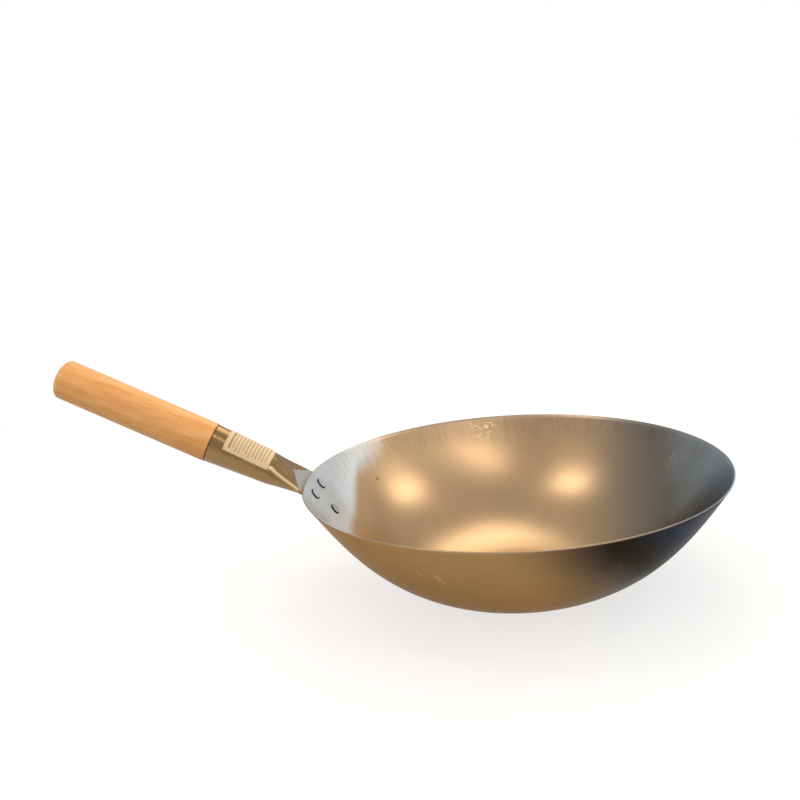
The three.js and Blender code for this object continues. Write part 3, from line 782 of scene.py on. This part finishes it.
def ruled_paper(name, paper, ruling, grip_frame, handle):
    """Uncoated label paper: matt, slightly mottled, with plain ruled lines across it and no words."""
    material = bpy.data.materials.new(name)
    node = start_nodes(material)
    local = handle_place(node, grip_frame)
    x, y, z = node("SeparateXYZ", local).node.outputs
    pitch = handle.label_pitch
    first = handle.label_from_mouth + handle.label_margin + pitch / 2
    last = handle.label_from_mouth + handle.label_length - handle.label_margin
    along = node("Math", z, -1.0, -first, operation="MULTIPLY_ADD")
    # Lines 1 mm wide, of which the first is nearly twice as wide
    line_edge, line_ink = (0.0004, 0.0006), 0.6
    title_edge, title_ink = (0.0008, 0.001), 0.75
    off_line = node("Math", along, pitch / 2, operation="PINGPONG")
    ruled = node("MapRange", off_line, *line_edge, line_ink, 0.0)
    past_title = node("Math", along, pitch / 2, operation="GREATER_THAN")
    before_end = node("Math", along, last - first, operation="LESS_THAN")
    for limit in (past_title, before_end):
        ruled = node("Math", ruled, limit, operation="MULTIPLY")
    off_title = node("Math", along, operation="ABSOLUTE")
    title = node("MapRange", off_title, *title_edge, title_ink, 0.0)
    ruled = node("Math", ruled, title, operation="MAXIMUM")
    # Each line ends at its own place before the paper's near edge
    shortest, longest = (handle.label_front - short for short in (0.3, 0.06))
    row = node("Math", node("Math", along, pitch, operation="DIVIDE"), operation="ROUND")
    chance = node("TexWhiteNoise", row, noise_dimensions="1D")
    turn = node("Math", x, y, operation="ARCTAN2")
    ends = node("MapRange", chance, 0.0, 1.0, shortest, longest)
    drawn = node("Math", ruled, node("Math", turn, ends, operation="LESS_THAN"), operation="MULTIPLY")
    # Mottling about 1.5 mm across
    mottle_size, mottle_shades = 0.0015, (0.93, 1.05)
    fibres = node("TexNoise", local, Scale=1 / mottle_size, Detail=4.0)
    tone = node("Mix", drawn, paper, ruling, data_type="RGBA")
    level = node("MapRange", fibres, 0.0, 1.0, *mottle_shades)
    surface = node(
        "BsdfPrincipled",
        Base_Color=node("VectorMath", tone, level, operation="SCALE"),
        Roughness=0.8,
        IOR=1.5,
        Normal=node("Bump", Strength=0.1, Distance=0.0001, Height=fibres),
    )
    node("OutputMaterial", surface)
    return material


# Pieces


def wall_rings(bowl):
    """Outside of the bowl as (radius, height), from the base to the rim."""
    rings = [(bowl.base_radius * share, 0.0) for share in BASE_RINGS]
    for step in steps(KNUCKLE_STEPS):
        turn = step * bowl.foot_slope
        out = bowl.base_radius + bowl.knuckle_radius * math.sin(turn)
        rings.append((out, bowl.knuckle_radius * (1 - math.cos(turn))))
    foot = Vector(rings[-1])
    rim = Vector((bowl.rim_radius, bowl.rim_height))
    foot_pull = foot + heading(bowl.foot_slope) * bowl.foot_pull
    rim_pull = rim - heading(bowl.rim_slope) * bowl.rim_pull
    for step in steps(WALL_STEPS)[1:]:
        rest = 1 - step
        point = foot * rest**3 + foot_pull * 3 * rest**2 * step
        point += rim_pull * 3 * rest * step**2
        point += rim * step**3
        rings.append(tuple(point))
    return rings


class WOK_OT_bowl(bpy.types.Operator):
    """Turns the bowl, presses the handle's seat flat and gives the sheet its thickness"""

    bl_idname = "wok.bowl"
    bl_label = "Bowl"

    def execute(self, context):
        bowl, finish = context.scene.wok_bowl, context.scene.wok_finish
        places = HandlePlaces(bowl, context.scene.wok_socket)
        piece = turn_piece("pressed_bowl", wall_rings(bowl), BOWL_SIDES)
        face_away(piece, Vector((0, 0, 1)))

        # The seat is pressed in its own frame, a little more at each step, so that its edge is soft
        lay(piece, places.seat_frame.inverted())
        bpy.ops.object.mode_set(mode="EDIT")
        bpy.ops.mesh.select_mode(type="VERT")
        level, last = -bowl.seat_blend, 1.0
        for share in SEAT_EASING:
            pick(piece, lambda vert: vert.co.z > level)
            bpy.ops.transform.resize(value=(1, 1, share / last), center_override=(0, 0, level))
            level, last = level + share * bowl.seat_blend / 2, share
        bpy.ops.object.mode_set(mode="OBJECT")
        lay(piece, places.seat_frame)

        # The new inner face and the rim's edge take the second material
        outer = finish.outer_steel, finish.brown_steel, finish.dark_steel, finish.outer_steel
        inner = finish.steel, finish.grey_steel, finish.blue_grey_steel_and_reflection, finish.pale_steel
        dress(
            piece,
            carbon_steel("Buffed Carbon Steel, Outside", bowl, outer, OUTER_FINISH),
            carbon_steel("Buffed Carbon Steel, Inside", bowl, inner, INNER_FINISH),
        )
        apply_modifier(
            piece,
            "SOLIDIFY",
            thickness=bowl.sheet,
            offset=-1,
            use_even_offset=True,
            material_offset=1,
            material_offset_rim=1,
        )
        apply_modifier(
            piece,
            "BEVEL",
            width=bowl.edge_round,
            segments=2,
            limit_method="ANGLE",
            angle_limit=RIM_EDGE_ANGLE,
        )
        finish_piece(piece, "bowl_steel", "wok_bowl")
        return {"FINISHED"}


class TubeSection:
    """Outline of the socket at a distance from its mouth: an ellipse, cut off flat above and below."""

    def __init__(self, socket, places, from_mouth):
        tapered = min(max(from_mouth / places.neck_from_mouth, 0.0), 1.0)
        squashed = min(max((from_mouth - places.neck_from_mouth) / socket.squash_length, 0.0), 1.0)
        round_half = blend(socket.mouth_radius, socket.neck_half_height, tapered)
        flattened = smooth_step(squashed)
        self.half_height = blend(round_half, socket.sheet, squashed)
        girth = math.pi * (socket.mouth_radius - self.half_height) / 2
        self.half_width = self.half_height + girth + socket.strap_flare * flattened
        self.full_height = self.half_height / math.sqrt(1 - (FLAT_ENDS * squashed**FLAT_GROWTH) ** 2)
        self.rise = socket.strap_rise * flattened


class WOK_OT_socket(bpy.types.Operator):
    """Draws the socket out from its mouth, squashes it, bends it and ends it in the riveted flange"""

    bl_idname = "wok.socket"
    bl_label = "Handle Socket"

    def execute(self, context):
        socket, finish = context.scene.wok_socket, context.scene.wok_finish
        places = HandlePlaces(context.scene.wok_bowl, socket)
        piece = start_circle("rolled_socket", SOCKET_SIDES, socket.mouth_radius, 0, "NOTHING")
        mouth = picked(piece)
        stops = [places.neck_from_mouth * share for share in NECK_RINGS]
        squash_steps = steps(ARC_STEPS * 2)[1:]
        stops += [places.neck_from_mouth + socket.squash_length * share for share in squash_steps]
        stops.append(places.bend_from_mouth)
        here, last = 0.0, TubeSection(socket, places, 0.0)
        for stop in stops:
            new = TubeSection(socket, places, stop)
            scale = (new.half_width / last.half_width, new.full_height / last.full_height, 1)
            draw_out((0, new.rise - last.rise, here - stop), scale, (0, new.rise, 0))
            ring = picked(piece)
            for side in (1, -1):
                level = new.rise + side * new.half_height
                pick(piece, lambda vert: vert.index in ring and (vert.co.y - level) * side > 0)
                bpy.ops.transform.resize(value=(1, 0, 1), center_override=(0, level, 0))
            pick(piece, lambda vert: vert.index in ring)
            here, last = stop, new

        # Bend on to the wall, then the flange with its rounded end
        bpy.ops.mesh.spin(
            steps=ARC_STEPS,
            angle=places.bend,
            center=(0, socket.strap_rise - socket.bend_radius, -places.bend_from_mouth),
            axis=(1, 0, 0),
        )
        tip_turn = math.acos((socket.tip_flat / 2 / last.half_width) ** (TIP_SHAPE / 2))
        down, wide = 0.0, 1.0
        for step in steps(ARC_STEPS * 2)[1:]:
            new_down = places.tongue * math.sin(step * tip_turn) ** (2 / TIP_SHAPE)
            new_wide = math.cos(step * tip_turn) ** (2 / TIP_SHAPE)
            move = new_down - down
            along_wall = (0, -math.sin(places.bend) * move, -math.cos(places.bend) * move)
            draw_out(along_wall, (new_wide / wide, 1, 1))
            down, wide = new_down, new_wide
        bpy.ops.mesh.edge_face_add()

        # Sheet edge at the mouth, and the inside of the tube as far as the neck
        pick(piece, lambda vert: vert.index in mouth)
        inner = 1 - socket.sheet / socket.mouth_radius
        draw_out((0, 0, 0), (inner, inner, 1))
        narrow = (socket.neck_half_height - socket.sheet) / (socket.mouth_radius - socket.sheet)
        draw_out((0, 0, -places.neck_from_mouth), (narrow, narrow, 1))
        bpy.ops.mesh.edge_face_add()
        close_mesh()

        # Open joint of the rolled sheet: the strip along the underside is narrowed and sunk
        bpy.ops.object.mode_set(mode="EDIT")
        bpy.ops.mesh.select_mode(type="VERT")
        seam_end = -(places.strap_from_mouth - socket.seam_short)
        strip = 2 * socket.mouth_radius * math.sin(math.pi / SOCKET_SIDES)
        pick(
            piece,
            lambda vert: abs(vert.co.x) < strip and vert.co.y < -socket.sheet and seam_end < vert.co.z,
        )
        bpy.ops.transform.resize(value=(socket.seam_width / strip, 1, 1), center_override=(0, 0, 0))
        pick_faces(
            piece,
            lambda face: abs(face.calc_center_median().x) < MIDDLE_GAP
            and face.normal.y < FACES_DOWN
            and seam_end < face.calc_center_median().z < -socket.fit_gap
            and len(face.verts) == 4,
        )
        sunk = {"value": -socket.sheet * SEAM_DEPTH}
        bpy.ops.mesh.extrude_region_shrink_fatten(TRANSFORM_OT_shrink_fatten=sunk)
        bpy.ops.object.mode_set(mode="OBJECT")
        lay(piece, places.grip_frame)
        tones = finish.socket_steel, finish.rivet_steel
        dress(piece, rolled_steel("Polished Rolled Steel", *tones, places, socket))
        finish_piece(piece, "socket_steel", "handle_socket")
        return {"FINISHED"}


class WOK_OT_rivets(bpy.types.Operator):
    """Turns one rivet and sets three of them through flange and wall"""

    bl_idname = "wok.rivets"
    bl_label = "Rivets"

    def execute(self, context):
        bowl, socket, handle, finish = wok_settings(context.scene)
        places = HandlePlaces(bowl, socket)
        inside = -bowl.sheet - socket.fit_gap
        outside = 2 * socket.fit_gap + 2 * socket.sheet
        head, shank = handle.rivet_head_radius, handle.rivet_radius
        low, tall = handle.inner_head_height, handle.outer_head_height
        profile = [(shank, inside - low)]
        for step in steps(ARC_STEPS):
            turn = step * math.pi / 2
            round_in = HEAD_ROUND * low * (1 - math.sin(turn))
            profile.append((head - round_in, inside - low * blend(HEAD_EDGE, 1, math.cos(turn))))
        profile += [(head, inside), (shank, inside), (shank, outside)]
        profile += dome(head, outside, tall, ARC_STEPS)
        first = turn_piece("headed_rivet_upper_near", profile, TURNED_SIDES)
        close_mesh()
        dress(
            first,
            headed_steel("Cold-headed Steel, Rivets", finish.rivet_steel),
            headed_steel("Cold-headed Steel, Painted Shade Edge", finish.scale),
        )
        # Faces next to the wall under the inner head take the dark material, as painted shade round the head
        bpy.ops.object.mode_set(mode="EDIT")
        pick_faces(first, lambda face: inside - low * PAINTED_SHADE_REACH < face.calc_center_median().z < inside)
        first.active_material_index = 1
        bpy.ops.object.material_slot_assign()
        bpy.ops.object.mode_set(mode="OBJECT")
        sites = [
            (places.upper_rivets_down, socket.rivet_spacing / 2, "upper_far"),
            (places.lower_rivet_down, 0.0, "lower"),
            (places.upper_rivets_down, -socket.rivet_spacing / 2, "upper_near"),
        ]
        for down, y, name in sites:
            only(first)
            if name != "upper_near":
                bpy.ops.object.duplicate(linked=False)
            rivet = bpy.context.object
            rivet.name = rivet.data.name = "headed_rivet_" + name
            lay(rivet, places.wall_frame(down, y))
            finish_piece(rivet, "rivet_steel", "rivet_" + name)
        return {"FINISHED"}


class WOK_OT_grip(bpy.types.Operator):
    """Turns the wooden grip with its tenon and domed end"""

    bl_idname = "wok.grip"
    bl_label = "Wooden Grip"

    def execute(self, context):
        bowl, socket, handle, finish = wok_settings(context.scene)
        places = HandlePlaces(bowl, socket)
        tenon = places.neck_from_mouth - handle.tenon_short
        taper = (socket.mouth_radius - socket.neck_half_height) / places.neck_from_mouth
        root = socket.mouth_radius - socket.sheet - socket.fit_gap
        tip = root - taper * tenon
        radius, gap, rounding = handle.grip_radius, socket.fit_gap, handle.grip_shoulder
        profile = [(tip * TENON_START, -tenon), (tip, -tenon), (root, gap)]
        for step in steps(ARC_STEPS // 2):
            turn = step * math.pi / 2
            profile.append((radius - rounding * (1 - math.sin(turn)), gap + rounding * (1 - math.cos(turn))))
        start = gap + rounding
        end = handle.grip_length - handle.grip_dome
        profile += [(radius, blend(start, end, share)) for share in steps(GRIP_RINGS)[1:-1]]
        profile += dome(radius, end, handle.grip_dome, ARC_STEPS * 2)
        piece = turn_piece("turned_grip", profile, TURNED_SIDES)
        close_mesh()
        lay(piece, places.grip_frame)
        tones = finish.wood_light, finish.wood_dark
        dress(piece, varnished_beech("Varnished Beech", *tones, places.grip_frame))
        finish_piece(piece, "grip_wood", "wood_grip", smooth=GRIP_SMOOTH_ANGLE)
        return {"FINISHED"}


class WOK_OT_screw(bpy.types.Operator):
    """Turns the slotted screw that holds the tenon, on the far side of the socket"""

    bl_idname = "wok.screw"
    bl_label = "Grip Screw"

    def execute(self, context):
        bowl, socket, handle, finish = wok_settings(context.scene)
        places = HandlePlaces(bowl, socket)
        shank, head = handle.screw_radius, handle.screw_head_radius
        seat = TubeSection(socket, places, handle.screw_from_mouth).half_width + socket.fit_gap
        tip = seat - handle.screw_length
        profile = [(shank * SCREW_POINT, tip), (shank, tip + shank * SCREW_TAPER), (shank, seat)]
        profile += dome(head, seat, handle.screw_head_height, ARC_STEPS)
        piece = turn_piece("slotted_screw", profile, TURNED_SIDES)
        close_mesh()

        # The slot is cut with a bar that reaches past the head on both sides
        bpy.ops.object.select_all(action="DESELECT")
        bpy.ops.mesh.primitive_cube_add(size=1, location=(0, 0, seat + handle.screw_head_height))
        slot = bpy.context.object
        slot.scale = (4 * head, handle.screw_slot_width, 2 * handle.screw_slot_depth)
        bpy.ops.object.transform_apply(location=True, rotation=True, scale=True)
        only(piece)
        apply_modifier(piece, "BOOLEAN", operation="DIFFERENCE", object=slot, solver="EXACT")
        bpy.data.objects.remove(slot)
        turn = Matrix.Translation((0, 0, -handle.screw_from_mouth)) @ Matrix.Rotation(-math.pi / 2, 4, "Y")
        lay(piece, places.grip_frame @ turn)
        dress(piece, headed_steel("Cold-headed Steel, Screw", finish.rivet_steel))
        finish_piece(piece, "screw_steel", "grip_screw")
        return {"FINISHED"}


class WOK_OT_label(bpy.types.Operator):
    """Wraps a plain paper label round the top and the near side of the socket"""

    bl_idname = "wok.label"
    bl_label = "Paper Label"

    def execute(self, context):
        bowl, socket, handle, finish = wok_settings(context.scene)
        places = HandlePlaces(bowl, socket)

        def half_sizes(from_mouth):
            section = TubeSection(socket, places, from_mouth)
            return section.half_width + socket.fit_gap, section.half_height + socket.fit_gap

        here = handle.label_from_mouth
        last = half_sizes(here)
        step_turn = math.pi / LABEL_SIDES
        low, high = -handle.label_back - step_turn, handle.label_front + step_turn
        piece = start_circle("wrapped_label", LABEL_SIDES, 1.0, 0, "NOTHING")
        pick(piece, lambda vert: not low < math.atan2(vert.co.x, vert.co.y) < high)
        bpy.ops.mesh.delete(type="VERT")
        bpy.ops.mesh.select_all(action="SELECT")
        bpy.ops.transform.resize(value=(*last, 1), center_override=(0, 0, 0))
        bpy.ops.transform.translate(value=(0, 0, -here))
        for step in steps(ARC_STEPS)[1:]:
            stop = handle.label_from_mouth + handle.label_length * step
            new = half_sizes(stop)
            draw_out((0, 0, here - stop), (new[0] / last[0], new[1] / last[1], 1))
            here, last = stop, new
        face_away(piece, Vector((0, -1, 0)))
        apply_modifier(piece, "SOLIDIFY", thickness=handle.label_thickness, offset=1)
        lay(piece, places.grip_frame)
        tones = finish.paper, finish.ruling
        dress(piece, ruled_paper("Uncoated Label Paper", *tones, places.grip_frame, handle))
        finish_piece(piece, "label_paper", "paper_label")
        return {"FINISHED"}


# Stage

# The camera's lens and direction come from the outline of the bowl's rim in the photo
IMAGE_SIZE = 800
CAMERA_LENS = 54.0
SENSOR_WIDTH = 36.0
CAMERA_ELEVATION = math.radians(18.23)
CAMERA_ROLL = math.radians(-2.93)
CAMERA_YAW = math.radians(2.0)
CAMERA_DISTANCE = 1.008
AIM_PIXEL = (514.7, 472.5)
AIM_HEIGHT = 0.0954

# Lamps: place, aim, direction of the long side, width, height, watts and colour
BOWL_MIDDLE = (0, 0, 0.06)
HANDLE_END = (-0.15, 0, 0.08)
LAMPS = {
    "lamp_right": ((1.15, 0.4, 1.28), BOWL_MIDDLE, (-0.126, -0.917, 0.371), 0.62, 0.12, 1.75, "#fff0da"),
    "lamp_left": ((-0.67, -0.18, 1.56), BOWL_MIDDLE, (-0.35, 0.23, -0.12), 0.5, 0.26, 1.75, "#fff0da"),
    "lamp_front": ((0.44, -0.61, 1.38), BOWL_MIDDLE, (1, 0, 0), 0.76, 0.12, 1.3, "#fff0da"),
    "lamp_back": ((0.12, 1.12, 1.42), BOWL_MIDDLE, (1, 0, 0), 0.7, 1.4, 5.4, "#fff0da"),
    "lamp_side": ((1.15, -0.54, 1.33), BOWL_MIDDLE, (1, 0, 0), 0.8, 0.6, 0.9, "#fff0da"),
    "window_back": ((1.17, 1.51, 0.4), HANDLE_END, (1, 0, 0), 1.15, 0.56, 3.4, "#e4f0ff"),
}
FILL_LEVEL, FILL_TONE = 0.95, "#fbf6ee"  # even light on wood, paper and floor
ROOM_LEVEL, ROOM_TONE = 0.6, "#f4efe8"  # room that the metal mirrors
FLOOR_SIZE = 12.0
FLOOR_LEVEL = -0.0002  # a hair below the base, so that the two faces do not coincide
FLOOR_TONE = "#a0a0a0"
FLOOR_LIFT = 0.7  # lifts the floor to white for the camera
FLOOR_MIRRORED = 0.42  # lift in the metal
FLOOR_FADE = (0.35, 0.9)  # from the shadow to plain white


def camera_matrix():
    """Place of the camera: it looks at the rim's middle, which lies off the image's centre."""
    focal = CAMERA_LENS / SENSOR_WIDTH * IMAGE_SIZE
    back = Vector((0, -math.cos(CAMERA_ELEVATION), math.sin(CAMERA_ELEVATION)))
    right = Vector((1, 0, 0))
    up = right.cross(-back)
    cosine, sine = math.cos(CAMERA_ROLL), math.sin(CAMERA_ROLL)
    turned = Matrix((right * cosine + up * sine, up * cosine - right * sine, back)).transposed()
    half = IMAGE_SIZE / 2
    aim = Vector(((AIM_PIXEL[0] - half) / focal, (half - AIM_PIXEL[1]) / focal, -1)).normalized()
    swing = aim.rotation_difference(Vector((0, 0, -1))).to_matrix()
    place = Vector((0, 0, AIM_HEIGHT)) + back * CAMERA_DISTANCE
    view = Matrix.Translation(place) @ (turned @ swing).to_4x4()
    return Matrix.Rotation(CAMERA_YAW, 4, "Z") @ view


def lamp(name, place, aim, along, width, height, watts, code):
    """Soft oval lamp that points at a spot, with its long side along a direction."""
    data = bpy.data.lights.new(name, "AREA")
    data.shape = "ELLIPSE"
    data.size = width
    data.size_y = height
    data.energy = watts
    data.color = linear(code)[:3]
    light = bpy.data.objects.new(name, data)
    bpy.context.scene.collection.objects.link(light)
    back = (Vector(place) - Vector(aim)).normalized()
    side = (Vector(along) - Vector(along).project(back)).normalized()
    turn = Matrix((side, back.cross(side), back)).transposed()
    light.matrix_world = Matrix.Translation(place) @ turn.to_4x4()


def paper_sweep(name):
    """Pale matt paper under the wok: it keeps the shadow and fades to white for the camera."""
    material = bpy.data.materials.new(name)
    node = start_nodes(material)
    rays = node("LightPath").node.outputs
    mirrored = node("Math", rays["Is Glossy Ray"], FLOOR_MIRRORED, operation="MULTIPLY")
    lift = node("Math", rays["Is Camera Ray"], FLOOR_LIFT, mirrored, operation="MULTIPLY_ADD")
    near = node("AddShader", node("BsdfDiffuse", linear(FLOOR_TONE)), node("Emission", Strength=lift))
    place = node("TexCoord").node.outputs["Object"]
    away = soft_edge(node, node("VectorMath", place, operation="LENGTH"), *FLOOR_FADE)
    white_share = node("Math", away, rays["Is Camera Ray"], operation="MULTIPLY")
    node("OutputMaterial", node("MixShader", white_share, near, node("Emission")))
    return material


def soft_studio(name):
    """Even fill, a dimmer room for the metal to mirror, and white behind the wok."""
    world = bpy.data.worlds.new(name)
    node = start_nodes(world)
    rays = node("LightPath").node.outputs
    fill = node("Background", linear(FILL_TONE), FILL_LEVEL)
    room = node("Background", linear(ROOM_TONE), ROOM_LEVEL)
    white = node("Background", linear("#ffffff"))
    unseen = node("MixShader", rays["Is Glossy Ray"], fill, room)
    node("OutputWorld", node("MixShader", rays["Is Camera Ray"], unseen, white))
    return world


class WOK_OT_stage(bpy.types.Operator):
    """Sets the pale floor, the soft lamps and the camera"""

    bl_idname = "wok.stage"
    bl_label = "Stage"

    def execute(self, context):
        scene = context.scene
        scene.view_settings.view_transform = "Standard"

        bpy.ops.object.select_all(action="DESELECT")
        bpy.ops.mesh.primitive_plane_add(size=FLOOR_SIZE, location=(0, 0, FLOOR_LEVEL))
        floor = bpy.context.object
        floor.name = "studio_floor"
        dress(floor, paper_sweep("Pale Paper Sweep"))

        scene.world = soft_studio("Soft Studio")
        for name, settings in LAMPS.items():
            lamp(name, *settings)

        data = bpy.data.cameras.new("photo_camera")
        data.sensor_fit = "HORIZONTAL"
        data.sensor_width = SENSOR_WIDTH
        data.lens = CAMERA_LENS
        camera = bpy.data.objects.new("photo_camera", data)
        scene.collection.objects.link(camera)
        camera.matrix_world = camera_matrix()
        scene.camera = camera
        return {"FINISHED"}


class WOK_PT_panel(bpy.types.Panel):
    """Lists the wok's pieces, sizes and colours"""

    bl_idname = "WOK_PT_panel"
    bl_label = "Wok"
    bl_space_type = "VIEW_3D"
    bl_region_type = "UI"
    bl_category = "Wok"

    def draw(self, context):
        for operator in OPERATORS:
            self.layout.operator(operator.bl_idname)
        for name in GROUPS:
            group = getattr(context.scene, name)
            box = self.layout.box()
            for key in group.__annotations__:
                box.prop(group, key)


GROUPS = {
    "wok_bowl": WokBowlSizes,
    "wok_socket": WokSocketSizes,
    "wok_handle": WokHandleSizes,
    "wok_finish": WokFinish,
}
OPERATORS = (
    WOK_OT_stage,
    WOK_OT_bowl,
    WOK_OT_socket,
    WOK_OT_rivets,
    WOK_OT_grip,
    WOK_OT_screw,
    WOK_OT_label,
)


def register():
    """Registers the classes and gives the scene its settings."""
    for cls in (*GROUPS.values(), *OPERATORS, WOK_PT_panel):
        bpy.utils.register_class(cls)
    for name, group in GROUPS.items():
        setattr(bpy.types.Scene, name, bpy.props.PointerProperty(type=group))


def unregister():
    """Takes the settings and the classes away again."""
    for name in GROUPS:
        delattr(bpy.types.Scene, name)
    for cls in reversed((*GROUPS.values(), *OPERATORS, WOK_PT_panel)):
        bpy.utils.unregister_class(cls)


def main():
    """Makes every piece."""
    register()
    bpy.ops.wok.stage()
    bpy.ops.wok.bowl()
    bpy.ops.wok.socket()
    bpy.ops.wok.rivets()
    bpy.ops.wok.grip()
    bpy.ops.wok.screw()
    bpy.ops.wok.label()
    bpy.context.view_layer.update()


if __name__ == "__main__":
    main()
